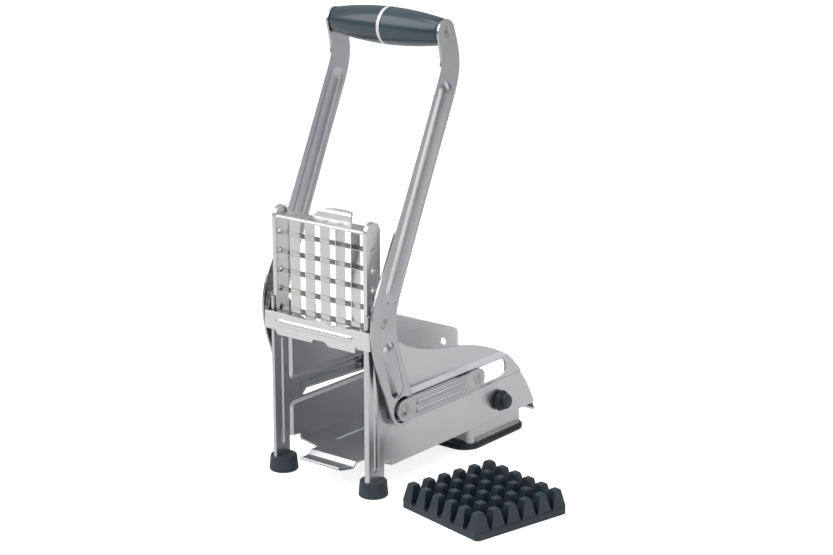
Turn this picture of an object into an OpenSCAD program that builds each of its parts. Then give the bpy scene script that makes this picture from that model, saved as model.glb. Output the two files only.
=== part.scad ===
// Lever-operated french fry cutter with a vacuum foot.
// A pressed-steel trough stands on two rubber feet and a vacuum foot. A two-armed lever
// pulls a pusher plate along the trough and presses the potato through a blade cartridge
// that slides up and down in the front legs. A spare peg stamp stands beside it.
//
// Layout: X across the body, Y from the fronts of the legs to the rear, Z up from the
// worktop. Each part is then moved so that the origin lies under the vacuum foot.

/* [Cutting grid] */
// Side of one square chip
chip = 12; // [11:0.5:13]
// Chips across and down the grid
chips = 6; // [5:1:7]
// Thickness of a blade
blade_t = 0.5; // [0.4:0.1:0.8]
// Depth of a blade along the push
blade_depth = 9; // [8:0.5:10]
// Depth of the cartridge side plates
cartridge_depth = 12.6; // [12:0.2:12.8]
// Thickness of the cartridge sheet
cartridge_t = 1.2; // [1:0.1:1.4]
// Height of the cartridge underside when it is raised
cartridge_raised = 93.5; // [90:0.5:100]
// Downward travel of the cartridge into the trough
cartridge_travel = 77; // [60:1:77]
// Width of the thumb tab on the cartridge
thumb_tab_w = 30.8; // [20:0.2:40]

/* [Sheet body] */
// Thickness of the body sheet
sheet = 1.2; // [1:0.1:1.5]
// Depth of the pressed step between the legs and the inset panels
joggle = 1.7; // [1.4:0.1:2]
// Width of a leg, front to back
leg_w = 15.2; // [15:0.1:16]
// Height of the leg tops
leg_top = 116; // [114:0.5:120]
// Width of the flange turned in along the front of a leg
flange_w = 3.1; // [2.5:0.1:3.2]
// Outer radius of the sheet bends
bend_r = 1.8; // [1.5:0.1:2.2]
// Height of the underside of the trough
trough_z = 14.6; // [13:0.1:16]
// Length of the trough, from the leg fronts to the rear of the walls
trough_l = 176; // [165:1:190]
// Height where the lower inset panel ends below the slot
lower_panel_z = 40.4; // [38:0.1:41]
// Height where the upper inset panel begins above the slot
upper_panel_z = 60; // [59:0.1:63]
// Height of the axle slot's centreline
slot_z = 49.2; // [48.5:0.1:50]
// Height of the axle slot
slot_h = 12.5; // [11:0.1:13]
// Front end of the axle slot
slot_front = 25.5; // [23:0.5:27]
// Rear end of the axle slot
slot_rear = 141; // [135:0.5:145]

/* [Lever and links] */
// Distance of the lever pivot behind the leg fronts
pivot_y = 9.7; // [9:0.1:10.5]
// Height of the lever pivot
pivot_z = 110.2; // [108:0.1:112]
// How far the grip axis lies behind the lever pivot
grip_back = 60.2; // [50:0.2:70]
// How far the grip axis lies above the lever pivot
grip_up = 167.4; // [150:0.2:190]
// How far the crank pivot lies behind the lever pivot
crank_back = 18.1; // [16:0.1:20]
// How far the crank pivot lies below the lever pivot
crank_down = 59; // [57:0.5:61]
// Thickness of a lever arm
arm_t = 1.5; // [1.2:0.1:2]
// Height of the stiffening beads pressed into the arms
arm_bead = 2; // [1.2:0.1:2.2]
// Thickness of a link
link_t = 1.5; // [1.2:0.1:1.8]
// Height of a link
link_h = 14; // [12:0.2:14]
// Distance of the axle behind the leg fronts, with the pusher drawn back
axle_y = 108.2; // [104:0.2:112]
// Diameter of the rivet shanks
rivet_d = 5; // [4:0.1:5.4]
// Diameter of the rivet heads
rivet_head_d = 6.6; // [6:0.1:7.5]
// Height of the rivet heads
rivet_head_h = 1; // [0.6:0.1:1.2]
// Thickness of the spacers between the legs and the cross band
spacer_t = 1.8; // [1.8:0.1:2.4]

/* [Grip] */
// Diameter of the grip at its middle
grip_mid_d = 23.2; // [20:0.2:28]
// Diameter of the grip at its ends
grip_end_d = 15.6; // [14:0.2:16.4]
// Width of the ring between the grip halves
ring_w = 2.2; // [1.5:0.1:4]
// Diameter of the rod through the grip
rod_d = 6; // [5:0.2:8]

/* [Pusher] */
// Thickness of the pusher plate
pusher_t = 1.5; // [1.2:0.1:2]
// Height of the top of the pusher plate
pusher_top = 85.7; // [80:0.5:88]
// Distance from the face of the pusher plate back to the axle
pusher_reach = 15.2; // [14:0.2:16]
// Diameter of the axle
axle_d = 8; // [6:0.2:9]
// Spacing of the four stamp holes
stamp_hole_pitch = 48; // [40:1:50]
// Diameter of the stamp holes
stamp_hole_d = 5; // [3:0.1:6]

/* [Feet] */
// Height of the front feet
foot_h = 10.2; // [9:0.1:12]
// Diameter of a front foot at the worktop
foot_bottom_d = 18.4; // [17:0.2:20]
// Diameter of a front foot at its top
foot_top_d = 16.8; // [16.4:0.2:17]
// Distance of the vacuum foot's centre behind the leg fronts
vacuum_y = 136; // [134:0.5:140]
// Overhang of the vacuum foot beside its steel housing
rim_side = 2; // [1.8:0.1:4]
// Overhang of the vacuum foot ahead of and behind its steel housing
rim_end = 5.5; // [4:0.5:8]
// Thickness of the vacuum foot's rubber rim
vacuum_rim_t = 3.2; // [2.8:0.1:4]
// Length of the steel housing on the vacuum foot
housing_l = 57; // [54:1:60]

/* [Vacuum knob] */
// Height of the vacuum shaft
shaft_z = 26.9; // [26.5:0.1:28]
// Diameter of the vacuum shaft
shaft_d = 6; // [5:0.1:6.4]
// Throw of the cam on the vacuum shaft
cam_throw = 1.5; // [1:0.1:1.8]
// Diameter of the vacuum knob
knob_d = 11.8; // [10:0.2:14]
// Length of the vacuum knob
knob_l = 8.2; // [6:0.2:10]

/* [Loose stamp] */
// Overall height of the peg stamp
stamp_h = 15.5; // [14:0.5:20]
// Thickness of the stamp's base
stamp_base = 4; // [3:0.2:5]
// Distance of the stamp's centre to the side of the body's middle
stamp_x = 104; // [95:0.5:130]
// Distance of the stamp's centre behind the leg fronts
stamp_y = 30; // [0:1:60]
// Turn of the stamp on the worktop
stamp_turn = -13; // [-45:0.5:45]

/* [Hidden] */
$fn = 64;

// Clearances and fits
grid_margin = 0.2;      // beside the outermost chips
guide_gap = 0.5;        // cartridge side to leg
pusher_gap = 0.8;       // pusher to trough walls
floor_gap = 0.5;        // pusher to trough floor
arm_gap = 0.3;          // lever arm to cross band
link_gap = 0.4;         // link to lever arm at the crank
link_wall_gap = 0.6;    // link to wall at the axle
running_fit = 0.05;     // radial, moving pivots
close_fit = 0.02;       // radial, fixed rivets
lap_gap = 0.05;         // each side of a blade in its notch

// Half widths, from the middle of the grid outwards
grid_half = chips * chip / 2;
cart_in = grid_half + grid_margin;
cart_out = cart_in + cartridge_t;
leg_in = cart_out + guide_gap;
leg_out = leg_in + sheet;
panel_out = leg_out - joggle;
panel_in = panel_out - sheet;
pusher_half = panel_in - pusher_gap;
band_in = leg_out + spacer_t;
band_out = band_in + sheet;
arm_in = band_out + arm_gap;
arm_out = arm_in + arm_t;
link_in = arm_out + link_gap;
link_rear_in = leg_out + link_wall_gap;
grip_half_l = arm_in - 0.1;

// Trough
floor_z = trough_z + sheet;
leg_bottom = foot_h - 4; // the leg ends inside its foot
upper_step_h = 3.6;     // rise of the step above the slot
wall_front = 24.5;      // front end of the lower wall
notch_z = trough_z + 4.6; // top of the cut-out between leg and wall
rib_y = 7.6;            // rib in the leg
rib_h = 1;
rib_w = 5;
rib_z = [18, 85];
hem_r = 0.95;           // rolled edge of the front lip
lip_half = 15.2;        // half the front lip at its edge
lip_y = 9;              // where the lip begins to narrow
plate_corner_r = 4;     // corner of the inset panels

// Cross band
band_y = -2.5;          // front face
band_top = 106.7;
band_bottom = 95.2;
band_skirt = 2.8;       // drop of the band's middle
band_eye_r = 8;
band_bead_h = 1.15;

// Lever and links
grip_y = pivot_y + grip_back;
grip_z = pivot_z + grip_up;
crank_y = pivot_y + crank_back;
crank_z = pivot_z - crank_down;
dish_r = 8.6;           // dish in the arm around the crank pivot
dish_depth = 1.2;
dish_slope = 1.2;       // narrowing of the dish towards its floor
upper_bead_w = 6.9;     // half widths of the two beads in an arm
lower_bead_w = 6;
link_l = norm([axle_y - crank_y, slot_z - crank_z]);
link_tilt = atan2(slot_z - crank_z, axle_y - crank_y);
rivet_r = rivet_d / 2;

// Cartridge
cart_y = 1.7;           // front of the cartridge
blade_y = cart_y + 1.4;
cart_bottom = cartridge_raised;
cell_bottom = cart_bottom + cartridge_t;
top_bar_z = cell_bottom + chips * chip - 0.8;
tab_l = 3;              // width of a blade's tab
diamond = 3.7;          // side of a tab hole
rim_w = 2.8;            // rim turned in along the edge of a cartridge side
bar_half = cart_out - rim_w - lap_gap;
bar_lip = 1.9;          // height of the lip along the front of the top bar
bar_bend = 1.6;         // outer radius of its bend
tab_rise = 6.6;         // height of the thumb tab over the bar
tab_slant = 6.1;        // sideways reach of its slanted end

// Pusher
pusher_y = axle_y - pusher_reach;
stamp_half = pusher_half - 0.1;
cheek_top = 69.5;       // the cheeks end here, the plate goes on flat
hole_mid_z = (floor_z + floor_gap + pusher_top) / 2;

// Points of a cubic curve through four control points, without its last point
function bezier(p, n = 10) = [for (i = [0:n - 1]) let (t = i / n, s = 1 - t)
    s * s * s * p[0] + 3 * s * s * t * p[1] + 3 * s * t * t * p[2] + t * t * t * p[3]];

// Ball radius of a pressed bead with a given half width and height
function bead_radius(half_w, h) = (half_w * half_w + h * h) / (2 * h);

// Unit vector square to the line through two points, to its left
function left_of(a, b) = let (d = b - a) [-d[1], d[0]] / norm(d);

// Points at a distance to the left of a polyline, with mitred corners
function beside(p, w) = [for (i = [0:len(p) - 1]) let (
    a = left_of(p[max(i - 1, 0)], p[max(i, 1)]),
    b = left_of(p[min(i, len(p) - 2)], p[min(i + 1, len(p) - 1)]))
    p[i] + w * (a + b) / (1 + a * b)];

function rotated(v, a) = [v[0] * cos(a) - v[1] * sin(a), v[0] * sin(a) + v[1] * cos(a)];

function reversed(p) = [for (i = [len(p) - 1:-1:0]) p[i]];

// Cuts the corners of a row of points, keeping its ends
function eased(p) = concat([p[0]], [for (i = [0:len(p) - 2]) each [p[i] * 0.75 + p[i + 1] * 0.25,
    p[i] * 0.25 + p[i + 1] * 0.75]], [p[len(p) - 1]]);

// Extrudes an outline drawn in Y and Z along X
module along_x(x0, x1) {
    translate([x0, 0, 0]) rotate([90, 0, 90]) linear_extrude(x1 - x0) children();
}

// Extrudes an outline drawn in X and Z along Y
module along_y(y0, y1) {
    translate([0, y1, 0]) rotate([90, 0, 0]) linear_extrude(y1 - y0) children();
}

module pin_x(x0, x1, r, y, z) {
    translate([x0, y, z]) rotate([0, 90, 0]) cylinder(h = x1 - x0, r = r);
}

module mirrored() {
    mirror([1, 0, 0]) children();
}

module both_sides() {
    children();
    mirrored() children();
}

// Folded strip of thickness t along a line of points
module strip(points, t) {
    polygon(concat(beside(points, t / 2), reversed(beside(points, -t / 2))));
}

module quarter_bend(r, t) {
    intersection() {
        difference() {
            circle(r);
            circle(r - t);
        }
        square(r);
    }
}

module rounded_rect(w, l, r) {
    square([w - 2 * r, l], center = true);
    square([w, l - 2 * r], center = true);
    for (x = [-1, 1], y = [-1, 1]) translate([x * (w / 2 - r), y * (l / 2 - r)]) circle(r);
}

module slot_outline(y0, y1, z, r) {
    translate([y0 + r, z - r]) square([y1 - y0 - 2 * r, 2 * r]);
    for (y = [y0 + r, y1 - r]) translate([y, z]) circle(r);
}

// Round-ended bar along Z, its ends' centres at 0 and l
module round_bar(l, r) {
    rotate_extrude() intersection() {
        union() {
            square([r, l]);
            circle(r);
            translate([0, l]) circle(r);
        }
        translate([0, -r]) square([r, l + 2 * r]);
    }
}

// Round-ended bar between two points in Y and Z at a given X
module capsule(x, p, q, r) {
    d = q - p;
    translate([x, p[0], p[1]]) rotate([atan2(d[1], d[0]) - 90, 0, 0]) round_bar(norm(d), r);
}

// ---- Sheet body -------------------------------------------------------------

module wall_outline() {
    polygon(concat(
        [[bend_r, leg_bottom], [leg_w - 0.2, leg_bottom], [leg_w - 0.2, notch_z + 0.8],
            [wall_front - 1, notch_z], [wall_front, trough_z], [trough_l, trough_z]],
        bezier([[trough_l, trough_z + 1.6], [trough_l - 8, lower_panel_z - 8],
            [trough_l - 19, slot_z - 4], [trough_l - 33, upper_panel_z - 3]]),
        bezier([[trough_l - 33, upper_panel_z - 3], [122, 69.2], [100, 73.9], [78, 77.2]]),
        bezier([[78, 77.2], [48, 81.7], [22, 91.2], [leg_w - 1, leg_top - 1]]),
        [[leg_w - 2, leg_top], [bend_r, leg_top]]));
}

// Rounds the front corner of an inset panel around a cone, from the edge of its step
module panel_corner(edge, dir) {
    r = plate_corner_r;
    z = edge + dir * r;
    difference() {
        translate([panel_out - 0.5, leg_w, min(edge, z)]) cube([joggle + 0.5, r, r]);
        translate([panel_out - 1, leg_w + r, z]) rotate([0, 90, 0])
            cylinder(h = joggle + 2, r1 = r - joggle - 1, r2 = r + 1);
    }
}

// Everything inside the outer surface of the stepped wall
module wall_inside() {
    far = 400;
    linear_extrude(far) polygon([[0, 0], [leg_out, 0], [leg_out, leg_w],
        [panel_out, leg_w + joggle], [panel_out, far], [0, far]]);
    along_y(0, far) polygon([[0, 0], [panel_out, 0], [panel_out, lower_panel_z],
        [leg_out, lower_panel_z + joggle], [leg_out, upper_panel_z - upper_step_h],
        [panel_out, upper_panel_z], [panel_out, far], [0, far]]);
    panel_corner(lower_panel_z + joggle, -1);
    panel_corner(upper_panel_z - upper_step_h, 1);
}

// Front flange of a leg with its bend, grown by a gap where it is cut from a foot
module leg_flange(gap = 0) {
    translate([leg_out - flange_w, -gap]) square([flange_w - bend_r, sheet + 2 * gap]);
    translate([leg_out - bend_r, bend_r]) mirror([0, 1]) quarter_bend(bend_r + gap, sheet + 2 * gap);
}

module leg_section(gap) {
    translate([leg_in - gap, bend_r]) square([sheet + 2 * gap, leg_w - 0.2 - bend_r + gap]);
    leg_flange(gap);
}

module leg_rib(shift) {
    r = bead_radius(rib_w / 2, rib_h);
    capsule(leg_out + rib_h - r - shift, [rib_y, rib_z[0]], [rib_y, rib_z[1]], r);
}

module side_frame() {
    color([0.78, 0.79, 0.8]) difference() {
        union() {
            intersection() {
                difference() {
                    wall_inside();
                    translate([-sheet, 0, 0]) wall_inside();
                }
                along_x(0, leg_out + 1) wall_outline();
            }
            translate([0, 0, leg_bottom]) linear_extrude(leg_top - leg_bottom - 0.5) leg_flange();
            intersection() {
                leg_rib(0);
                translate([leg_in, 0, 0]) cube([leg_w, leg_w, leg_top]);
            }
        }
        leg_rib(sheet);
        along_x(0, leg_out + 1) slot_outline(slot_front, slot_rear, slot_z, slot_h / 2);
        pin_x(0, leg_out + 1, shaft_d / 2 + running_fit, vacuum_y, shaft_z);
        pin_x(0, leg_out + 1, rivet_r + close_fit, pivot_y, pivot_z);
    }
}

module side_frame_right() {
    side_frame();
}

module side_frame_left() {
    mirrored() side_frame();
}

slope_y = vacuum_y + housing_l / 2 + 0.5;   // the tray slopes down behind the housing
floor_rear = slope_y - 7;
fold_y = slope_y + 13;          // folded rear edge of the tray
floor_front = leg_w - 1.2;      // between the legs
groove_x = 17;                  // grooves in the floor
groove_y0 = 38;
groove_y1 = 100;

module floor_outline() {
    neck = chip * 1.5 + 0.3;
    neck_y = floor_front + 6.6;
    polygon([[-neck, floor_front], [neck, floor_front], [neck, neck_y], [panel_in, wall_front],
        [panel_in, floor_rear], [-panel_in, floor_rear], [-panel_in, wall_front], [-neck, neck_y]]);
}

// Front lip, stepped down from the floor and hemmed at its edge
module front_lip() {
    mid = trough_z + sheet / 2;
    neck = chip * 1.5 + 0.3;
    intersection() {
        along_x(-neck, neck) {
            strip([[floor_front + 0.2, mid], [floor_front - 0.6, mid], [floor_front - 3.4, mid - 2.6],
                [1.6, mid - 1.8], [0, mid - 1.2]], sheet);
            translate([0.2, mid - 0.9]) circle(hem_r);
        }
        linear_extrude(trough_z + 2) polygon([[-neck, leg_w], [-neck, lip_y], [-lip_half, -2],
            [lip_half, -2], [neck, lip_y], [neck, leg_w]]);
    }
}

module tray_floor() {
    groove_r = bead_radius(1.5, 0.8);
    mid = trough_z + sheet / 2;
    low = mid - 6.2;
    color([0.7, 0.71, 0.72]) difference() {
        union() {
            translate([0, 0, trough_z]) linear_extrude(sheet) floor_outline();
            front_lip();
            along_x(-panel_in + 0.6, panel_in - 0.6)
                strip([[floor_rear - 0.2, mid], [slope_y, mid], [fold_y, low], [fold_y + 0.7, low + 0.1],
                    [fold_y + 0.7, low + 0.8], [fold_y - 2.2, mid + 1.4]], sheet);
            for (x = [-groove_x, groove_x]) intersection() {
                capsule(x, [groove_y0, trough_z - 0.8 + groove_r], [groove_y1, trough_z - 0.8 + groove_r],
                    groove_r);
                translate([x - 5, 0, trough_z - 1]) cube([10, 120, 2]);
            }
        }
        for (x = [-groove_x, groove_x])
            capsule(x, [groove_y0, floor_z - 0.8 + groove_r], [groove_y1, floor_z - 0.8 + groove_r], groove_r);
        translate([0, vacuum_y, 0]) cylinder(h = floor_z + 1, r = 3.6);
        housing_rivet_places() cylinder(h = floor_z + 1, r = 1.6 + close_fit);
    }
}

module band_face_outline() {
    side = band_out - bend_r;
    dip = band_bottom - band_skirt;
    polygon([[-side, band_bottom], [-chip * 2.75, band_bottom], [-chip * 2.75 + 2.4, dip],
        [-3.4, dip], [-1.8, dip + 2.4], [7, dip + 2.4], [10.4, dip], [chip * 2.6, dip],
        [chip * 2.6, band_bottom + 1], [chip * 2.6 + 1.6, band_bottom + 1],
        [chip * 2.6 + 1.6, band_bottom], [side, band_bottom], [side, band_top],
        [chip * 2.3, band_top], [chip * 2, band_top - 0.6], [chip * 0.9, band_top - 0.6],
        [chip * 0.6, band_top], [-chip * 0.2, band_top], [-chip * 0.5, band_top - 0.6],
        [-chip * 1.7, band_top - 0.6], [-chip * 2, band_top], [-side, band_top]]);
}

module band_ear_outline() {
    translate([pivot_y, pivot_z]) circle(band_eye_r);
    polygon(concat([[band_y + bend_r, band_bottom], [pivot_y + 4, band_bottom],
        [pivot_y + band_eye_r, band_bottom + 4], [pivot_y + band_eye_r, pivot_z],
        [pivot_y, pivot_z], [pivot_y - band_eye_r + 0.5, pivot_z + 1.6]],
        reversed(bezier([[band_y + bend_r, band_top], [band_y + bend_r + 1.8, band_top + 0.1],
            [band_y + bend_r + 2.6, band_top + 1.8], [pivot_y - band_eye_r + 0.5, pivot_z + 1.6]], 6))));
}

module cross_band() {
    bead_r = bead_radius(2.2, band_bead_h);
    bead_z = (band_top + band_bottom) / 2 - 0.4;
    bead_ends = [-chip * 2.7, chip * 2.5];
    color([0.82, 0.82, 0.83]) difference() {
        union() {
            along_y(band_y, band_y + sheet) band_face_outline();
            both_sides() {
                along_x(band_in, band_out) band_ear_outline();
                translate([band_out - bend_r, band_y + bend_r, band_bottom])
                    linear_extrude(band_top - band_bottom) mirror([0, 1]) quarter_bend(bend_r, sheet);
            }
            band_bead(bead_ends, bead_z, bead_r, 0, sheet / 2);
        }
        band_bead(bead_ends, bead_z, bead_r, sheet, sheet + 0.5);
        both_sides() pin_x(band_in - 1, band_out + 1, rivet_r + close_fit, pivot_y, pivot_z);
    }
}

// Bar pressed across the face of the band, up to a depth behind the face
module band_bead(ends, z, r, shift, depth) {
    l = ends[1] - ends[0];
    intersection() {
        translate([ends[0] + r, band_y - band_bead_h + r + shift, z]) rotate([0, 90, 0])
            round_bar(l - 2 * r, r);
        translate([ends[0] - 1, band_y - 2, z - r - 1]) cube([l + 2, 2 + depth, 2 * r + 2]);
    }
}

module pivot_spacers() {
    color([0.62, 0.63, 0.65]) both_sides() difference() {
        pin_x(leg_out, band_in, rivet_r + 2, pivot_y, pivot_z);
        pin_x(leg_out - 1, band_in + 1, rivet_r + close_fit, pivot_y, pivot_z);
    }
}

// Rivet along X from x0, with a low domed head from x1 and a dimple in the head.
// Collars are given as [start, end, radius] and only touch the shank's outside.
module rivet(x0, x1, y, z, collars = []) {
    ball = bead_radius(rivet_head_d / 2, rivet_head_h);
    translate([0, y, z]) rotate([0, 90, 0]) rotate_extrude() difference() {
        union() {
            translate([0, x0]) square([rivet_r, x1 - x0 + rivet_head_h / 2]);
            intersection() {
                translate([0, x1 + rivet_head_h - ball]) circle(ball, $fn = 128);
                translate([0, x1]) square([rivet_head_d, rivet_head_h]);
            }
            for (c = collars) translate([0, c[0]]) square([c[2], c[1] - c[0]]);
        }
        translate([0, x1 + rivet_head_h + 0.5]) circle(1);
    }
}

module lever_pivot_rivets() {
    color([0.75, 0.72, 0.68]) both_sides() rivet(leg_in, arm_out + running_fit, pivot_y, pivot_z);
}

// ---- Feet and vacuum foot ---------------------------------------------------

foot_x = leg_out - 2.5;
foot_y = 7.5;

module foot_right() {
    rb = foot_bottom_d / 2;
    rt = foot_top_d / 2;
    color([0.2, 0.25, 0.28]) difference() {
        translate([foot_x, foot_y, 0]) rotate_extrude() {
            polygon([[0, 0], [rb - 1.4, 0], [rb, 1.4], [rt, foot_h - 0.9], [rt - 0.9, foot_h], [0, foot_h]]);
            translate([rb - 1.4, 1.4]) circle(1.4);
            translate([rt - 0.9, foot_h - 0.9]) circle(0.9);
        }
        translate([0, 0, leg_bottom - close_fit]) linear_extrude(foot_h) leg_section(close_fit);
    }
}

module foot_left() {
    mirrored() foot_right();
}

housing_w = 2 * (panel_in - 0.2);
housing_r = 5;          // corners of the housing
vacuum_w = housing_w + 2 * rim_side;
vacuum_l = housing_l + 2 * rim_end;
rim_r = 12;             // corners of the rubber rim
rim_lip = 1.2;          // step along the rim's upper edge
rib_strip_t = 0.45;     // thickness of the ribbed strip beside the housing
rib_pitch = 2.1;        // spacing of its ribs
rib_top = 6.9;

module housing_rivet_places() {
    for (x = [-1, 1], y = [-1, 1])
        translate([x * housing_w * 0.34, vacuum_y + y * housing_l * 0.36, 0]) children();
}

module suction_housing() {
    color([0.75, 0.75, 0.76]) difference() {
        translate([0, vacuum_y, vacuum_rim_t]) linear_extrude(trough_z - vacuum_rim_t)
            rounded_rect(housing_w, housing_l, housing_r);
        translate([0, vacuum_y, 0]) linear_extrude(trough_z - sheet)
            rounded_rect(housing_w - 2 * sheet, housing_l - 2 * sheet, housing_r - sheet);
        translate([0, vacuum_y, 0]) cylinder(h = trough_z + 1, r = 3.6);
        housing_rivet_places() cylinder(h = trough_z + 1, r = 1.6 + close_fit);
    }
}

module housing_rivets() {
    color([0.6, 0.6, 0.62]) housing_rivet_places() {
        translate([0, 0, trough_z - sheet]) cylinder(h = 2 * sheet, r = 1.6);
        translate([0, 0, trough_z - sheet - 0.8]) cylinder(h = 0.8, r = 2.8);
        translate([0, 0, floor_z]) cylinder(h = 0.4, r = 2.8);
    }
}

membrane_t = 2.2;

// Ribbed rubber strip standing on the rim along one side of the housing
module ribbed_strip() {
    x0 = housing_w / 2 + lap_gap;
    x1 = x0 + rib_strip_t;
    z0 = vacuum_rim_t - 0.5;
    ribs = floor((housing_l / 2 - housing_r) / rib_pitch);
    translate([x0, housing_r - housing_l / 2, z0]) cube([x1 - x0, housing_l - 2 * housing_r, rib_top - z0]);
    for (i = [-ribs:ribs]) translate([x1 - 0.1, i * rib_pitch - 0.5, vacuum_rim_t + 1])
        cube([0.5, 1, rib_top - vacuum_rim_t - 1.3]);
}

module suction_base() {
    w = vacuum_w - 2 * rim_lip;
    l = vacuum_l - 2 * rim_lip;
    pocket_r = housing_r - 1;
    color([0.06, 0.06, 0.07]) translate([0, vacuum_y, 0]) {
        difference() {
            union() {
                linear_extrude(vacuum_rim_t - rim_lip) rounded_rect(vacuum_w, vacuum_l, rim_r);
                linear_extrude(vacuum_rim_t) rounded_rect(w, l, rim_r - rim_lip);
            }
            translate([0, 0, membrane_t]) linear_extrude(vacuum_rim_t)
                rounded_rect(housing_w - 6, housing_l - 6, pocket_r);
        }
        both_sides() ribbed_strip();
    }
}

cam_r = 5;
cam_gap = 0.5;

// Stud that lifts the middle of the rubber, with a yoke around the cam
module suction_stud() {
    disc_z = membrane_t + 0.3;
    disc_r = 15;
    window_bottom = shaft_z - cam_throw - cam_r - cam_gap;
    window_top = shaft_z - cam_throw + cam_r + cam_gap;
    window_half = cam_r + cam_throw + cam_gap;
    color([0.6, 0.61, 0.63]) translate([0, vacuum_y, 0]) {
        translate([0, 0, disc_z]) cylinder(h = 1.5, r = disc_r);
        translate([0, 0, disc_z]) cylinder(h = window_bottom - disc_z, r = 3);
        difference() {
            translate([-3, -window_half - 2, window_bottom - 2])
                cube([6, 2 * window_half + 4, window_top - window_bottom + 4]);
            translate([-4, -window_half, window_bottom])
                cube([8, 2 * window_half, window_top - window_bottom]);
        }
    }
}

module vacuum_shaft() {
    color([0.68, 0.69, 0.7]) {
        pin_x(-panel_out - 1.4, panel_out + 0.2 + knob_l * 0.7, shaft_d / 2, vacuum_y, shaft_z);
        pin_x(-2.5, 2.5, cam_r, vacuum_y, shaft_z - cam_throw);
    }
}

module shaft_clips() {
    color([0.5, 0.51, 0.53]) for (x = [-panel_out - 1, panel_in - 1]) difference() {
        pin_x(x, x + 0.8, shaft_d / 2 + 2, vacuum_y, shaft_z);
        pin_x(x - 1, x + 2, shaft_d / 2 + close_fit, vacuum_y, shaft_z);
    }
}

module vacuum_knob() {
    r = knob_d / 2;
    x0 = panel_out + 0.2;
    color([0.18, 0.2, 0.22]) difference() {
        translate([x0, vacuum_y, shaft_z]) rotate([0, 90, 0]) rotate_extrude() {
            polygon([[0, 0], [r - 1, 0], [r - 1, 4], [0, 4]]);
            translate([r - 1, 2]) circle(2);
            polygon([[0, 2], [r - 0.3, 2], [r - 0.8, knob_l - 2.5], [r - 3.3, knob_l], [0, knob_l]]);
            translate([r - 3.3, knob_l - 2.5]) circle(2.5);
        }
        for (a = [0, 180]) translate([x0, vacuum_y, shaft_z]) rotate([a, 0, 0])
            translate([4.1, -r, r * 0.84]) rotate([0, 12, 0]) cube([knob_l, 2 * r, r]);
        pin_x(x0 - 1, x0 + knob_l * 0.7, shaft_d / 2 + close_fit, vacuum_y, shaft_z);
    }
}

// ---- Lever ------------------------------------------------------------------

// Centreline stations of an arm as [behind the pivot, above the pivot, half width]
arm_stations = [
    [grip_back, grip_up, 8],
    [grip_back + 3.5, grip_up - 11.6, 8.5],
    [grip_back + 4.5, grip_up - 20.1, 8.9],
    [grip_back + 2.6, grip_up - 27.6, 9.5],
    [grip_back - 1.2, grip_up - 36.6, 9.8],
    [34.6, 79.2, 9.7],
    [9.9, 27.8, 10.4],
    [1.7, 10.8, 11.2],
    [-0.5, -2.2, 11.6],
    [1.3, -14.2, 11.5],
    [5.6, -27.2, 11.4],
    [crank_back, -crank_down, 10.8]];

// Outline with the given half widths beside the stations and round ends
module arm_outline() {
    stations = eased(eased(arm_stations));
    last = len(stations) - 1;
    centre = [for (q = stations) [q[0], q[1]]];
    side = [for (k = [1, -1]) [for (i = [0:last])
        centre[i] + k * stations[i][2] * left_of(centre[max(i - 1, 0)], centre[min(i + 1, last)])]];
    start = side[0][0] - centre[0];
    end = side[1][last] - centre[last];
    translate([pivot_y, pivot_z]) polygon(concat(side[0], [for (a = [15:15:165])
        centre[last] - rotated(end, -a)], reversed(side[1]), [for (a = [15:15:165])
        centre[0] - rotated(start, -a)]));
}

// The two beads pressed outwards in an arm
module arm_beads(shift) {
    upper_r = bead_radius(upper_bead_w, arm_bead);
    lower_r = bead_radius(lower_bead_w, arm_bead);
    at = [pivot_y, pivot_z];
    capsule(arm_out + arm_bead - upper_r - shift, at + [7.8, 16.9],
        at + [grip_back - 1, grip_up - 36.6], upper_r);
    capsule(arm_out + arm_bead - lower_r - shift, at + [4.4, -18.6],
        at + [crank_back - 5.6, 14.8 - crank_down], lower_r);
}

// Cone of the dish around the crank pivot, with its small end at x
module dish_cone(x, r) {
    h = dish_depth + 0.2;
    translate([x, crank_y, crank_z]) rotate([0, 90, 0])
        cylinder(h = h, r1 = r, r2 = r + h * dish_slope / dish_depth);
}

module lever_arm() {
    sink = arm_out - dish_depth;
    color([0.76, 0.77, 0.78]) difference() {
        union() {
            along_x(arm_in, arm_out) arm_outline();
            intersection() {
                arm_beads(0);
                translate([arm_in, -50, 0]) cube([20, 250, 400]);
            }
            dish_cone(arm_in - dish_depth, dish_r + 0.2);
        }
        arm_beads(arm_t);
        dish_cone(sink, dish_r - dish_slope);
        pin_x(0, arm_out + 1, rivet_r + close_fit, crank_y, crank_z);
        pin_x(0, arm_out + 1, rivet_r + running_fit, pivot_y, pivot_z);
        pin_x(0, arm_out + 1, 1.6, grip_y, grip_z);
        translate([arm_out - 1.1, grip_y, grip_z]) rotate([0, 90, 0])
            cylinder(h = 1.2, r1 = 2.2, r2 = 3.4);
    }
}

module lever_arm_right() {
    lever_arm();
}

module lever_arm_left() {
    mirrored() lever_arm();
}

module crank_rivets() {
    floor_x = arm_out - dish_depth;
    link_face = link_in + link_t + link_boss_h;
    tail = floor_x - arm_t;
    color([0.75, 0.72, 0.68]) both_sides()
        rivet(tail - 0.7, link_face + running_fit, crank_y, crank_z,
            [[tail - 0.7, tail, rivet_r + 1], [floor_x, link_in - running_fit, rivet_r + 2]]);
}

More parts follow.
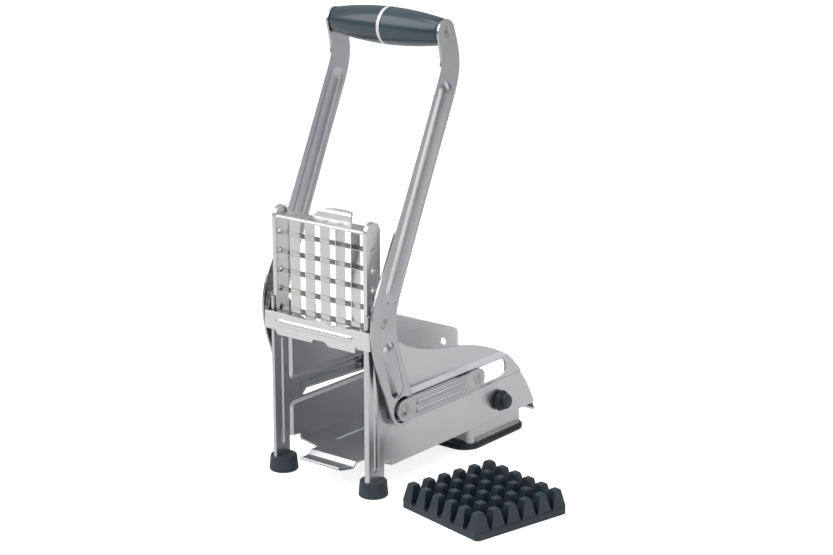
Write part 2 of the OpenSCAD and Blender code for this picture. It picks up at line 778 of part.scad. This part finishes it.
// Half of the barrel grip, from the ring to the arm
module grip_half_right() {
    mid = grip_mid_d / 2;
    end = grip_end_d / 2;
    drop = mid - end;
    barrel = (grip_half_l * grip_half_l + drop * drop) / (2 * drop);
    color([0.2, 0.28, 0.33]) translate([0, grip_y, grip_z]) rotate([0, 90, 0]) rotate_extrude()
        difference() {
            intersection() {
                translate([mid - barrel, 0]) circle(barrel, $fn = 720);
                translate([rod_d / 2 + close_fit, ring_w / 2]) square([mid, grip_half_l - ring_w / 2]);
            }
            translate([end - 1.4, grip_half_l - 1.4]) difference() {
                square(3);
                circle(1.4);
            }
        }
}

module grip_half_left() {
    mirrored() grip_half_right();
}

module grip_ring() {
    color([0.95, 0.95, 0.94]) difference() {
        pin_x(-ring_w / 2, ring_w / 2, grip_mid_d / 2 + 0.15, grip_y, grip_z);
        pin_x(-ring_w, ring_w, rod_d / 2 + close_fit, grip_y, grip_z);
    }
}

screw_l = 11;           // screw inside the rod
screw_r = 1.5;

module grip_rod() {
    color([0.6, 0.61, 0.62]) difference() {
        pin_x(-arm_in, arm_in, rod_d / 2, grip_y, grip_z);
        both_sides() pin_x(arm_in - screw_l - 1, arm_in + 1, screw_r + close_fit, grip_y, grip_z);
    }
}

module grip_screws() {
    color([0.8, 0.8, 0.82]) both_sides() difference() {
        union() {
            pin_x(arm_in - screw_l, arm_out - 0.4, screw_r, grip_y, grip_z);
            translate([arm_out - 1.1, grip_y, grip_z]) rotate([0, 90, 0])
                cylinder(h = 0.8, r1 = 2.1, r2 = 2.95);
        }
        translate([arm_out - 0.9, grip_y, grip_z]) rotate([0, 90, 0]) cylinder(h = 2, r = 1.2, $fn = 6);
    }
}

// ---- Links and pusher -------------------------------------------------------

link_mid = 65;          // where the link starts to step in to the wall
link_step = 10.5;       // length of that step
link_mid_in = link_in - 2.05;
link_bead = 0.9;        // height of the two thin beads
link_boss_h = 0.3;      // raised ring around the crank rivet
link_boss_r = 4.4;

// A link lies along +Y from its crank pivot before it is tilted into place
module link_blank() {
    h = link_h / 2;
    half = link_t / 2;
    intersection() {
        translate([0, 0, -h]) linear_extrude(link_h) strip([[link_in + half, -h - 1],
            [link_in + half, 12], [link_mid_in + half, link_mid],
            [link_rear_in + half, link_mid + link_step], [link_rear_in + half, link_l + h + 1]], link_t);
        along_x(0, link_in + 10) slot_outline(-h, link_l + h, 0, h);
    }
}

// Two thin beads along the slanted middle of a link, sunk by a given depth
module link_beads(sink) {
    r = bead_radius(1.5, link_bead);
    turn = atan2(link_in - link_mid_in, link_mid - 12);
    for (z = [-2.7, 2.7]) translate([link_in + link_t, 12, z]) rotate([0, 0, turn])
        intersection() {
            translate([link_bead - r - sink, -0.4, 0]) rotate([-90, 0, 0]) round_bar(link_mid - 14.5, r);
            translate([-link_t / 2 - sink, -4, -3]) cube([10, link_mid, 6]);
        }
}

module link_right() {
    h = link_h / 2;
    color([0.74, 0.75, 0.76]) translate([0, crank_y, crank_z]) rotate([link_tilt, 0, 0]) difference() {
        union() {
            link_blank();
            link_beads(0);
            pin_x(link_in + link_t / 2, link_in + link_t + link_boss_h, link_boss_r, 0, 0);
        }
        link_beads(link_t);
        pin_x(0, link_in + 10, rivet_r + running_fit, 0, 0);
        pin_x(0, link_in + 10, rivet_r + close_fit, link_l, 0);
    }
}

module link_left() {
    mirrored() link_right();
}

module link_rear_rivets() {
    color([0.75, 0.72, 0.68]) both_sides()
        rivet(link_rear_in, link_rear_in + link_t + close_fit, axle_y, slot_z);
}

module pusher_face_outline() {
    z0 = floor_z + floor_gap;
    z1 = cheek_top + 0.8;
    r = 3;
    half = pusher_half - bend_r;
    difference() {
        union() {
            translate([-half, z0]) square([2 * half, pusher_top - r - z0]);
            translate([-pusher_half, z1]) square([2 * pusher_half, pusher_top - r - z1]);
            translate([r - pusher_half, z1]) square([2 * (pusher_half - r), pusher_top - z1]);
            for (x = [-1, 1]) translate([x * (pusher_half - r), pusher_top - r]) circle(r);
        }
        for (x = [-1, 1], z = [-1, 1])
            translate([x * stamp_hole_pitch / 2, hole_mid_z + z * stamp_hole_pitch / 2])
                circle(d = stamp_hole_d);
    }
}

module pusher_cheek_outline() {
    z0 = floor_z + floor_gap;
    y0 = pusher_y + bend_r;
    polygon([[y0, z0], [axle_y - 2, z0], [axle_y + 8, slot_z - 10], [axle_y + 8, slot_z + 6],
        [axle_y + 4, slot_z + 9], [y0 + 4, cheek_top - 4], [y0 + 1.6, cheek_top - 1],
        [y0, cheek_top]]);
}

module pusher_plate() {
    z0 = floor_z + floor_gap;
    color([0.72, 0.73, 0.74]) difference() {
        union() {
            along_y(pusher_y, pusher_y + pusher_t) pusher_face_outline();
            both_sides() {
                along_x(pusher_half - pusher_t, pusher_half) pusher_cheek_outline();
                translate([pusher_half - bend_r, pusher_y + bend_r, z0])
                    linear_extrude(cheek_top - z0) mirror([0, 1]) quarter_bend(bend_r, pusher_t);
            }
        }
        pin_x(-pusher_half - 1, pusher_half + 1, axle_d / 2 + close_fit, axle_y, slot_z);
    }
}

module pusher_axle() {
    color([0.7, 0.71, 0.72]) pin_x(-link_rear_in + 0.2, link_rear_in - 0.2, axle_d / 2, axle_y, slot_z);
}

module axle_bushes() {
    color([0.85, 0.85, 0.82]) both_sides() difference() {
        pin_x(pusher_half + close_fit, leg_out + 0.3, slot_h / 2 - running_fit, axle_y, slot_z);
        pin_x(0, leg_out + 1, axle_d / 2 + close_fit, axle_y, slot_z);
    }
}

// ---- Blade cartridge --------------------------------------------------------

cart_top = top_bar_z + 6;
cart_r = cartridge_depth / 2;

module cartridge_side_outline() {
    translate([cart_y, cart_bottom]) square([cartridge_depth, cart_top - cart_r - cart_bottom]);
    translate([cart_y + cart_r, cart_top - cart_r]) circle(cart_r);
}

// Rim turned inwards along the front edge and over the round top
module cartridge_rim() {
    t = cartridge_t;
    along_x(cart_out - rim_w, cart_in + t / 2) difference() {
        cartridge_side_outline();
        translate([cart_y + cart_r, cart_top - cart_r]) circle(cart_r - t);
        translate([cart_y + t, cart_bottom - 1]) square([cartridge_depth, cart_top - cart_r - cart_bottom + 1]);
    }
}

module cartridge_side_right() {
    mid = blade_y + blade_depth / 2;
    color([0.76, 0.77, 0.78]) difference() {
        union() {
            along_x(cart_in, cart_out) cartridge_side_outline();
            cartridge_rim();
        }
        for (i = [1:chips - 1]) translate([cart_in - 1, mid, cell_bottom + i * chip])
            rotate([45, 0, 0]) translate([0, -diamond / 2, -diamond / 2])
                cube([cartridge_t + 2, diamond, diamond]);
    }
}

module cartridge_side_left() {
    mirrored() cartridge_side_right();
}

// Diamond holes for the tabs of the upright blades
module tab_holes(z0, z1) {
    for (i = [1:chips - 1]) translate([i * chip - grid_half, blade_y + blade_depth / 2, z0])
        rotate([0, 0, 45]) translate([-diamond / 2, -diamond / 2, 0]) cube([diamond, diamond, z1 - z0]);
}

// Flat of a bar, narrower at the front and rear where the rims of the sides pass it
module bar_flat(y0, y1, z) {
    y2 = cart_y + cartridge_t + lap_gap;
    y3 = cart_y + cartridge_depth - cartridge_t - lap_gap;
    translate([-bar_half, y0, z]) cube([2 * bar_half, y1 - y0, cartridge_t]);
    translate([-cart_in, y2, z]) cube([2 * cart_in, y3 - y2, cartridge_t]);
}

// Outline of the thumb tab seen from the front, with one slanted end
module thumb_tab_outline(top) {
    half = thumb_tab_w / 2;
    translate([0, top]) polygon([[-half, -3], [half, -3], [half, tab_rise - 2.8],
        [half - 0.4, tab_rise - 2], [half - 1.4, tab_rise - 1.3], [half - 4.4, tab_rise - 0.4], [6, tab_rise],
        [0, tab_rise - 0.4], [tab_slant - half, tab_rise - 2], [-half, 0]]);
}

module cartridge_top_bar() {
    rear = cart_y + cartridge_depth - 0.4;
    mid = top_bar_z + cartridge_t / 2;
    top = top_bar_z + cartridge_t;
    color([0.82, 0.83, 0.84]) difference() {
        union() {
            bar_flat(cart_y + bar_bend, rear, top_bar_z);
            translate([-bar_half, cart_y, top - bar_lip]) cube([2 * bar_half, cartridge_t, bar_lip - bar_bend]);
            along_x(-bar_half, bar_half) translate([cart_y + bar_bend, top - bar_bend]) mirror([1, 0])
                quarter_bend(bar_bend, cartridge_t);
            intersection() {
                along_x(-thumb_tab_w / 2, thumb_tab_w / 2) strip(concat([[rear - 3, mid]],
                    bezier([[rear - 1.4, mid], [rear - 0.1, mid], [rear, mid + 0.6], [rear + 0.1, mid + 1.6]]),
                    [[rear + 0.1, mid + 1.6]],
                    bezier([[rear + 0.3, mid + 3.6], [rear + 0.5, mid + 5], [rear + 1.6, mid + 5.9],
                        [rear + 3.4, mid + 6.3]]), [[rear + 3.4, mid + 6.3]]), cartridge_t);
                along_y(rear - 8, rear + 8) thumb_tab_outline(top);
            }
        }
        tab_holes(top_bar_z - 1, top + 1);
    }
}

module cartridge_bottom_bar() {
    color([0.78, 0.79, 0.8]) difference() {
        bar_flat(cart_y, cart_y + cartridge_depth - 0.4, cart_bottom);
        tab_holes(cart_bottom - 1, cell_bottom + 1);
    }
}

// Blade section across its thickness, with the edge ground towards the pusher
module blade_section() {
    h = blade_t / 2;
    y1 = blade_y + blade_depth;
    polygon([[-h, blade_y], [h, blade_y], [h, y1 - 1.2], [0.05, y1], [-0.05, y1], [-h, y1 - 1.2]]);
}

module twisted_tab(length) {
    rotate([0, 0, 45]) translate([-tab_l / 2, -blade_t / 2, 0]) cube([tab_l, blade_t, length]);
}

// Upright blades, notched from behind where the level blades cross them
module vertical_blades() {
    mid = blade_y + blade_depth / 2;
    top = top_bar_z + cartridge_t;
    color([0.86, 0.87, 0.88]) for (i = [1:chips - 1]) translate([i * chip - grid_half, 0, 0]) {
        difference() {
            translate([0, 0, cell_bottom + 0.05]) linear_extrude(top_bar_z - cell_bottom - 0.1) blade_section();
            for (j = [1:chips - 1])
                translate([-1, mid, cell_bottom + j * chip - blade_t / 2 - lap_gap])
                    cube([2, blade_depth, blade_t + 2 * lap_gap]);
        }
        for (z = [cart_bottom + 0.1, top_bar_z - 0.2]) translate([0, mid, z]) twisted_tab(cartridge_t + 0.1);
    }
}

// Level blades, notched from the front where the upright blades cross them
module horizontal_blades() {
    mid = blade_y + blade_depth / 2;
    color([0.84, 0.85, 0.86]) for (j = [1:chips - 1]) translate([0, 0, cell_bottom + j * chip]) {
        difference() {
            translate([-cart_in + 0.05, 0, 0]) rotate([90, 0, 90]) linear_extrude(2 * cart_in - 0.1)
                mirror([1, 0]) rotate(90) blade_section();
            for (i = [1:chips - 1])
                translate([i * chip - grid_half - blade_t / 2 - lap_gap, 0, -1])
                    cube([blade_t + 2 * lap_gap, mid, 2]);
        }
        both_sides() translate([cart_in - 0.1, mid, 0]) rotate([45, 0, 0])
            translate([0, -tab_l / 2, -blade_t / 2]) cube([cartridge_t + 0.1, tab_l, blade_t]);
    }
}

// ---- Loose stamp ------------------------------------------------------------

// Valley between two rows of pegs, cut from the top with eased edges
module valley(bottom_w, top_w) {
    z0 = stamp_base;
    z1 = stamp_h;
    ease = 0.6;
    b = bottom_w / 2;
    t = top_w / 2;
    translate([0, stamp_half + 1, 0]) rotate([90, 0, 0]) linear_extrude(2 * stamp_half + 2)
        polygon([[-b, z0 + ease], [ease - b, z0], [b - ease, z0], [b, z0 + ease], [t, z1 - ease],
            [t + ease, z1 + 0.01], [-t - ease, z1 + 0.01], [-t, z1 - ease]]);
}

module loose_stamp() {
    color([0.2, 0.25, 0.28]) translate([stamp_x, stamp_y, 0]) rotate([0, 0, stamp_turn]) difference() {
        linear_extrude(stamp_h) rounded_rect(2 * stamp_half, 2 * stamp_half, 2.5);
        for (i = [0:chips]) {
            translate([i * chip - grid_half, 0, 0]) valley(3.6, 6.8);
            rotate([0, 0, 90]) translate([i * chip - grid_half, 0, 0]) valley(1.8, 7);
        }
        for (x = [-1, 1], y = [-1, 1])
            translate([x * stamp_hole_pitch / 2, y * stamp_hole_pitch / 2, -1])
                cylinder(h = 3.5, d = stamp_hole_d);
    }
}

// ---- Assembly ---------------------------------------------------------------

module placed() {
    translate([0, -vacuum_y, 0]) children();
}

placed() side_frame_left();
placed() side_frame_right();
placed() tray_floor();
placed() cross_band();
placed() pivot_spacers();
placed() lever_pivot_rivets();
placed() foot_left();
placed() foot_right();
placed() suction_housing();
placed() housing_rivets();
placed() suction_base();
placed() suction_stud();
placed() vacuum_shaft();
placed() shaft_clips();
placed() vacuum_knob();
placed() lever_arm_left();
placed() lever_arm_right();
placed() crank_rivets();
placed() grip_half_left();
placed() grip_half_right();
placed() grip_ring();
placed() grip_rod();
placed() grip_screws();
placed() link_left();
placed() link_right();
placed() link_rear_rivets();
placed() pusher_plate();
placed() pusher_axle();
placed() axle_bushes();
placed() cartridge_side_left();
placed() cartridge_side_right();
placed() cartridge_top_bar();
placed() cartridge_bottom_bar();
placed() vertical_blades();
placed() horizontal_blades();
placed() loose_stamp();
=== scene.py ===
import math

import bpy
from mathutils import Euler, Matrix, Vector

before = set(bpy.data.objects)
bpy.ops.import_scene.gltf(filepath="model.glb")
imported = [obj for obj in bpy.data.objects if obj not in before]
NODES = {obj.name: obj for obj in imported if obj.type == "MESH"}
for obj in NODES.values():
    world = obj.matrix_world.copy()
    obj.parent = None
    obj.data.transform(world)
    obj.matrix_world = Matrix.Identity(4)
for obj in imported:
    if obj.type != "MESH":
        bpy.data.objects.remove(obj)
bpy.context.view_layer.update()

SCENE = bpy.context.scene

# Camera, solved on the photograph: millimetres, metres and degrees
SENSOR_WIDTH = 36.0
LENS = 90.18
CAMERA_PLACE = (0.796658, -1.048803, 0.473707)
CAMERA_AZIMUTH = 38.285
CAMERA_ELEVATION = 15.700
CAMERA_ROLL = -0.024
CLIP_START = 0.01

# Most values of a noise texture lie between these two
NOISE_LOW = 0.3
NOISE_HIGH = 0.7

# Steel: noise scales are per metre, lengths are in metres
LINE_SCALE = 5200
STREAK_SCALE = 1300
STEEL_CLOUD_SCALE = 16
MARK_SCALE = 75
BRUSH_STRETCH = 60.0            # length of a brush line over its width
LINE_SHARE = 0.2                # what the fine lines add to the tone
STREAK_AND_CLOUD_SHARE = 0.8    # what the streaks and the clouds add together
LINE_ROUGHNESS = 0.02           # up and down, along the lines
MARK_RANGE = (0.45, 0.75)       # noise values of clean steel and of smudges
MARK_ROUGHNESS = (-0.01, 0.04)  # what they add to the roughness
LINE_DEPTH = 0.00002
STEEL_EDGE = 0.0003
STEEL_CREVICE_SHADE = (0.002, 0.3)    # reach and depth of the painted crevice shade

# Moulded plastic and rubber
MOULDED_CLOUD_SCALE = 35
TEXTURE_DEPTH = 0.0001
MOULDED_EDGE = 0.0004
# reach and depth of the painted crevice shade on plastic and rubber
MOULDED_CREVICE_SHADE = (0.006, 0.4)
COAT_ROUGHNESS = 0.08
RIB_FOOT = (0.0040, 0.0044)     # height at which the vacuum foot's ribs start
RIB_GREY = (0.50, 0.50, 0.50)

# Part of the hemisphere that is open to a point, for the painted crevice shade: in a
# crevice, and in the clear
CREVICE_OPENNESS = 0.25
CLEAR_OPENNESS = 0.9
SHADER_SAMPLES = 6

# Background: strength for camera rays, and for glossy and transmission rays
FLOOR_HALF = 6.0
FLOOR_GREY = 0.84
FLOOR_SEEN = (0.75, 0.06)
WORLD_SEEN = (1.0, 0.15)
STUDIO_STRENGTH = 0.5
STUDIO_STOPS = (                # sine of the height above the horizon, and colour
    (0.0, (0.19, 0.23, 0.27)),
    (0.3, (0.29, 0.33, 0.37)),
    (0.6, (0.80, 0.80, 0.80)),
    (1.0, (1.00, 1.00, 1.00)),
)
WHITE = (1, 1, 1)
WARM_WHITE = (1, 0.95, 0.90)


# ---- Camera ------------------------------------------------------------------

def add_camera():
    data = bpy.data.cameras.new("camera")
    data.sensor_width = SENSOR_WIDTH
    data.lens = LENS
    data.clip_start = CLIP_START
    cam = bpy.data.objects.new("camera", data)
    SCENE.collection.objects.link(cam)
    down = math.radians(90 - CAMERA_ELEVATION)
    turn = Euler((down, 0, math.radians(CAMERA_AZIMUTH)), "XYZ").to_matrix()
    roll = Euler((0, 0, math.radians(CAMERA_ROLL)), "XYZ").to_matrix()
    cam.matrix_world = (turn @ roll).to_4x4()
    cam.location = CAMERA_PLACE
    SCENE.camera = cam


# ---- Node helpers ------------------------------------------------------------

def feed(tree, socket, value):
    """Links the input to another node's output, or sets it to a number or colour."""
    if isinstance(value, bpy.types.NodeSocket):
        tree.links.new(value, socket)
    elif isinstance(value, tuple):
        socket.default_value = (*value, 1)
    else:
        socket.default_value = value


def math_node(tree, operation, a, b):
    node = tree.nodes.new("ShaderNodeMath")
    node.operation = operation
    feed(tree, node.inputs[0], a)
    feed(tree, node.inputs[1], b)
    return node.outputs[0]


class Graph:
    """Small wrapper for building a material's node tree."""

    def __init__(self, name):
        self.mat = bpy.data.materials.new(name)
        self.mat.use_nodes = True
        self.tree = self.mat.node_tree
        self.tree.nodes.clear()
        out = self.add("OutputMaterial")
        self.shader = self.add("BsdfPrincipled")
        self.link(self.shader.outputs[0], out.inputs[0])
        self.coords = self.add("TexCoord").outputs["Object"]

    def add(self, kind):
        return self.tree.nodes.new("ShaderNode" + kind)

    def link(self, a, b):
        self.tree.links.new(a, b)

    def set(self, **values):
        for key, value in values.items():
            self.shader.inputs[key.replace("_", " ")].default_value = value

    def to(self, socket, name):
        self.link(socket, self.shader.inputs[name])

    def math(self, operation, a, b):
        return math_node(self.tree, operation, a, b)

    def noise(self, scale, stretch=(1, 1, 1), detail=2, turn=(0, 0, 0), rough=0.5):
        mapping = self.add("Mapping")
        mapping.vector_type = "TEXTURE"
        mapping.inputs["Rotation"].default_value = turn
        mapping.inputs["Scale"].default_value = stretch
        self.link(self.coords, mapping.inputs["Vector"])
        node = self.add("TexNoise")
        node.inputs["Scale"].default_value = scale
        node.inputs["Detail"].default_value = detail
        node.inputs["Roughness"].default_value = rough
        self.link(mapping.outputs[0], node.inputs["Vector"])
        return node.outputs["Fac"]

    def remap(self, socket, low, high, to_low=0, to_high=1):
        node = self.add("MapRange")
        self.link(socket, node.inputs["Value"])
        node.inputs["From Min"].default_value = low
        node.inputs["From Max"].default_value = high
        node.inputs["To Min"].default_value = to_low
        node.inputs["To Max"].default_value = to_high
        return node.outputs["Result"]

    def mix(self, factor, a, b, blend="MIX"):
        node = self.add("Mix")
        node.data_type = "RGBA"
        node.blend_type = blend
        feed(self.tree, node.inputs["Factor"], factor)
        feed(self.tree, node.inputs[6], a)
        feed(self.tree, node.inputs[7], b)
        return node.outputs[2]

    def bump(self, socket, strength, distance, before):
        node = self.add("Bump")
        node.inputs["Strength"].default_value = strength
        node.inputs["Distance"].default_value = distance
        self.link(socket, node.inputs["Height"])
        self.link(before, node.inputs["Normal"])
        return node.outputs[0]

    def painted_crevice_shade(self, color, reach, depth):
        """Painted shade: darkens the base colour in the piece's own inner corners, by
        ambient occlusion within the piece.
        """
        near = self.add("AmbientOcclusion")
        near.only_local = True
        near.samples = SHADER_SAMPLES
        near.inputs["Distance"].default_value = reach
        shade = self.remap(near.outputs["AO"], CREVICE_OPENNESS, CLEAR_OPENNESS, 1 - depth)
        return self.mix(1.0, color, shade, "MULTIPLY")

    def rounding(self, radius):
        """Normal that rounds the sharp edges a little, so that they catch the light."""
        node = self.add("Bevel")
        node.samples = SHADER_SAMPLES
        node.inputs["Radius"].default_value = radius
        return node.outputs[0]


# ---- Kinds of material -------------------------------------------------------

def steel(name, dark, light, rough, along, turn=(0, 0, 0), grain=0.04, brush=0.15,
          radius=STEEL_EDGE):
    """Satin steel: very fine brush lines along one axis, a cloudy tone, faint smudges and
    painted shade in its own inner corners.
    """
    g = Graph(name)
    stretch = tuple(BRUSH_STRETCH if axis == along else 1.0 for axis in "XYZ")
    lines = g.noise(LINE_SCALE, stretch, turn=turn)
    streaks = g.noise(STREAK_SCALE, stretch, detail=3, turn=turn)
    cloud = g.noise(STEEL_CLOUD_SCALE, detail=3)
    marks = g.noise(MARK_SCALE, detail=4, rough=0.6)
    soft = g.math("ADD", g.math("MULTIPLY", streaks, brush),
                  g.math("MULTIPLY", cloud, STREAK_AND_CLOUD_SHARE - brush))
    tone = g.math("ADD", g.math("MULTIPLY", lines, LINE_SHARE), soft)
    color = g.mix(g.remap(tone, NOISE_LOW, NOISE_HIGH), dark, light)
    # base colour with painted shade in the piece's own inner corners
    g.to(g.painted_crevice_shade(color, *STEEL_CREVICE_SHADE), "Base Color")
    lined = g.remap(lines, NOISE_LOW, NOISE_HIGH,
                    rough - LINE_ROUGHNESS, rough + LINE_ROUGHNESS)
    smudged = g.remap(marks, *MARK_RANGE, *MARK_ROUGHNESS)
    g.to(g.math("ADD", lined, smudged), "Roughness")
    g.set(Metallic=1.0)
    g.to(g.bump(lines, grain, LINE_DEPTH, g.rounding(radius)), "Normal")
    return g.mat


def moulded(name, dark, light, rough, spread, scale, texture, coat=0.0, ribbed=False):
    """Moulded plastic or rubber: faint mottling, a fine surface texture and painted shade in
    its own inner corners.
    """
    g = Graph(name)
    fine = g.noise(scale, detail=3)
    cloud = g.noise(MOULDED_CLOUD_SCALE, detail=3)
    color = g.mix(g.remap(cloud, NOISE_LOW, NOISE_HIGH), dark, light)
    # painted shade in the piece's own inner corners
    color = g.painted_crevice_shade(color, *MOULDED_CREVICE_SHADE)
    if ribbed:
        place = g.add("SeparateXYZ")
        g.link(g.coords, place.inputs[0])
        color = g.mix(g.remap(place.outputs["Z"], *RIB_FOOT), color, RIB_GREY)
    g.to(color, "Base Color")
    both = g.math("ADD", fine, cloud)
    g.to(g.remap(both, 2 * NOISE_LOW, 2 * NOISE_HIGH, rough - spread, rough + spread),
         "Roughness")
    g.set(Coat_Weight=coat, Coat_Roughness=COAT_ROUGHNESS)
    g.to(g.bump(fine, texture, TEXTURE_DEPTH, g.rounding(MOULDED_EDGE)), "Normal")
    return g.mat


def assign(material, *names):
    for name in names:
        slots = NODES[name].data.materials
        slots.clear()
        slots.append(material)


# ---- Materials on the CAD nodes ----------------------------------------------

ARM_LEAN = (math.radians(-25), 0, 0)

WALL = steel("wall_steel", (0.592, 0.592, 0.612), (0.652, 0.652, 0.672), 0.32, "Y",
             brush=0.1)
FLOOR = steel("floor_steel", (0.560, 0.575, 0.590), (0.640, 0.655, 0.670), 0.34, "Y")
PUSHER = steel("pusher_steel", (0.790, 0.790, 0.796), (0.850, 0.850, 0.856), 0.30, "X")
ARM = steel("arm_steel", (0.405, 0.415, 0.435), (0.620, 0.618, 0.630), 0.24, "Z",
            turn=ARM_LEAN)
BAND = steel("band_steel", (0.700, 0.702, 0.708), (0.770, 0.772, 0.778), 0.29, "X")
LINK = steel("link_steel", (0.430, 0.438, 0.452), (0.495, 0.503, 0.517), 0.20, "Y",
             radius=0.0005)
BLADE = steel("blade_steel", (0.760, 0.752, 0.752), (0.830, 0.822, 0.822), 0.15, "Z",
              radius=0.00008)
# The level blades are the upright blades' steel, painted darker and warmer: painted shade
# with a warm painted reflection.
SHADED_FLAT_BLADE = steel("shaded_flat_blade_steel", (0.530, 0.508, 0.480), (0.610, 0.588, 0.560),
                   0.15, "X", radius=0.00008)
CARTRIDGE = steel("cartridge_steel", (0.680, 0.682, 0.690), (0.740, 0.742, 0.750),
                  0.28, "Z")
BAR = steel("bar_steel", (0.740, 0.742, 0.746), (0.800, 0.802, 0.806), 0.40, "X")
RIVET = steel("rivet_steel", (0.44, 0.42, 0.39), (0.54, 0.52, 0.49), 0.33, "X",
              grain=0.01)
HOUSING = steel("housing_steel", (0.590, 0.592, 0.610), (0.650, 0.652, 0.670), 0.14,
                "Z", radius=0.001)

GRIP = moulded("grip_plastic", (0.025, 0.050, 0.069), (0.034, 0.063, 0.084),
               rough=0.30, spread=0.02, scale=900, texture=0.001, coat=0.4)
RING = moulded("ring_plastic", (0.80, 0.80, 0.78), (0.88, 0.88, 0.87),
               rough=0.25, spread=0.04, scale=900, texture=0.04, coat=0.3)
FOOT = moulded("foot_rubber", (0.022, 0.036, 0.046), (0.032, 0.048, 0.059),
               rough=0.50, spread=0.08, scale=1500, texture=0.25)
STAMP = moulded("stamp_plastic", (0.016, 0.030, 0.040), (0.024, 0.041, 0.053),
                rough=0.34, spread=0.07, scale=1800, texture=0.2)
SUCTION = moulded("suction_rubber", (0.022, 0.031, 0.038), (0.034, 0.045, 0.053),
                  rough=0.30, spread=0.08, scale=1200, texture=0.2, ribbed=True)
KNOB = moulded("knob_plastic", (0.007, 0.017, 0.027), (0.013, 0.026, 0.038),
               rough=0.33, spread=0.06, scale=1500, texture=0.2)
BUSH = moulded("bush_plastic", (0.62, 0.61, 0.56), (0.70, 0.69, 0.64),
               rough=0.45, spread=0.05, scale=1500, texture=0.15)

assign(WALL, "side_frame_left", "side_frame_right")
assign(FLOOR, "tray_floor")
assign(PUSHER, "pusher_plate")
assign(HOUSING, "suction_housing")
assign(BAND, "cross_band")
assign(ARM, "lever_arm_left", "lever_arm_right")
assign(LINK, "link_left", "link_right")
assign(CARTRIDGE, "cartridge_side_left", "cartridge_side_right")
assign(BAR, "cartridge_top_bar", "cartridge_bottom_bar")
assign(BLADE, "vertical_blades")
assign(SHADED_FLAT_BLADE, "horizontal_blades")
assign(RIVET, "pivot_spacers", "lever_pivot_rivets", "crank_rivets", "link_rear_rivets",
       "housing_rivets", "suction_stud", "vacuum_shaft", "shaft_clips", "grip_rod",
       "grip_screws", "pusher_axle")
assign(GRIP, "grip_half_left", "grip_half_right")
assign(RING, "grip_ring")
assign(FOOT, "foot_left", "foot_right")
assign(STAMP, "loose_stamp")
assign(SUCTION, "suction_base")
assign(KNOB, "vacuum_knob")
assign(BUSH, "axle_bushes")


# ---- Light, floor and background ---------------------------------------------

def add_area(name, location, target, size, power, color=WHITE):
    data = bpy.data.lights.new(name, "AREA")
    data.shape = "RECTANGLE"
    data.size, data.size_y = size
    data.energy = power
    data.color = color
    lamp = bpy.data.objects.new(name, data)
    SCENE.collection.objects.link(lamp)
    lamp.location = location
    aim = Vector(target) - Vector(location)
    lamp.rotation_euler = aim.to_track_quat("-Z", "Y").to_euler()


def seen_strength(tree, camera, mirror):
    """Strength of the background for camera rays and for glossy or transmission rays."""
    path = tree.nodes.new("ShaderNodeLightPath").outputs
    either = math_node(tree, "MAXIMUM", path["Is Glossy Ray"], path["Is Transmission Ray"])
    return math_node(tree, "MAXIMUM",
                     math_node(tree, "MULTIPLY", path["Is Camera Ray"], camera),
                     math_node(tree, "MULTIPLY", either, mirror))


def add_floor():
    """A white floor that keeps the object's shadow."""
    mesh = bpy.data.meshes.new("floor")
    r = FLOOR_HALF
    corners = [(-r, -r, 0), (r, -r, 0), (r, r, 0), (-r, r, 0)]
    mesh.from_pydata(corners, [], [(0, 1, 2, 3)])
    floor = bpy.data.objects.new("floor", mesh)
    SCENE.collection.objects.link(floor)
    g = Graph("floor_surface")
    g.set(Base_Color=(FLOOR_GREY, FLOOR_GREY, FLOOR_GREY, 1), Roughness=0.8,
          Specular_IOR_Level=0.2, Emission_Color=(*WHITE, 1))
    g.to(seen_strength(g.tree, *FLOOR_SEEN), "Emission Strength")
    mesh.materials.append(g.mat)


def set_world():
    """Studio: dim near the horizon and bright overhead, and white to the camera."""
    world = bpy.data.worlds.new("studio")
    SCENE.world = world
    world.use_nodes = True
    tree = world.node_tree
    tree.nodes.clear()

    def add(kind):
        return tree.nodes.new("ShaderNode" + kind)

    out = add("OutputWorld")
    split = add("SeparateXYZ")
    tree.links.new(add("TexCoord").outputs["Generated"], split.inputs[0])
    ramp = add("ValToRGB")
    stops = ramp.color_ramp.elements
    while len(stops) < len(STUDIO_STOPS):
        stops.new(0.5)
    for stop, (place, tone) in zip(stops, STUDIO_STOPS):
        stop.position = place
        stop.color = (*tone, 1)
    tree.links.new(split.outputs["Z"], ramp.inputs[0])
    studio = add("Background")
    tree.links.new(ramp.outputs[0], studio.inputs["Color"])
    studio.inputs["Strength"].default_value = STUDIO_STRENGTH
    white = add("Background")
    white.inputs["Color"].default_value = (*WHITE, 1)
    white.inputs["Strength"].default_value = 1.0
    mix = add("MixShader")
    tree.links.new(seen_strength(tree, *WORLD_SEEN), mix.inputs[0])
    tree.links.new(studio.outputs[0], mix.inputs[1])
    tree.links.new(white.outputs[0], mix.inputs[2])
    tree.links.new(mix.outputs[0], out.inputs[0])


add_camera()
add_floor()
set_world()
add_area("key", (-1.2, -1.5, 1.5), (0, -0.05, 0.12), size=(1.6, 1.6), power=19)
add_area("side", (1.9, -0.45, 0.5), (0, -0.1, 0.12), size=(1.6, 0.9), power=5.6,
         color=WARM_WHITE)
add_area("top", (0.1, -0.4, 1.3), (0, -0.1, 0.1), size=(1.0, 1.0), power=8)
add_area("rear", (1.3, 1.8, 0.9), (0, -0.05, 0.12), size=(0.9, 1.2), power=3.4)
SCENE.view_settings.view_transform = "Standard"
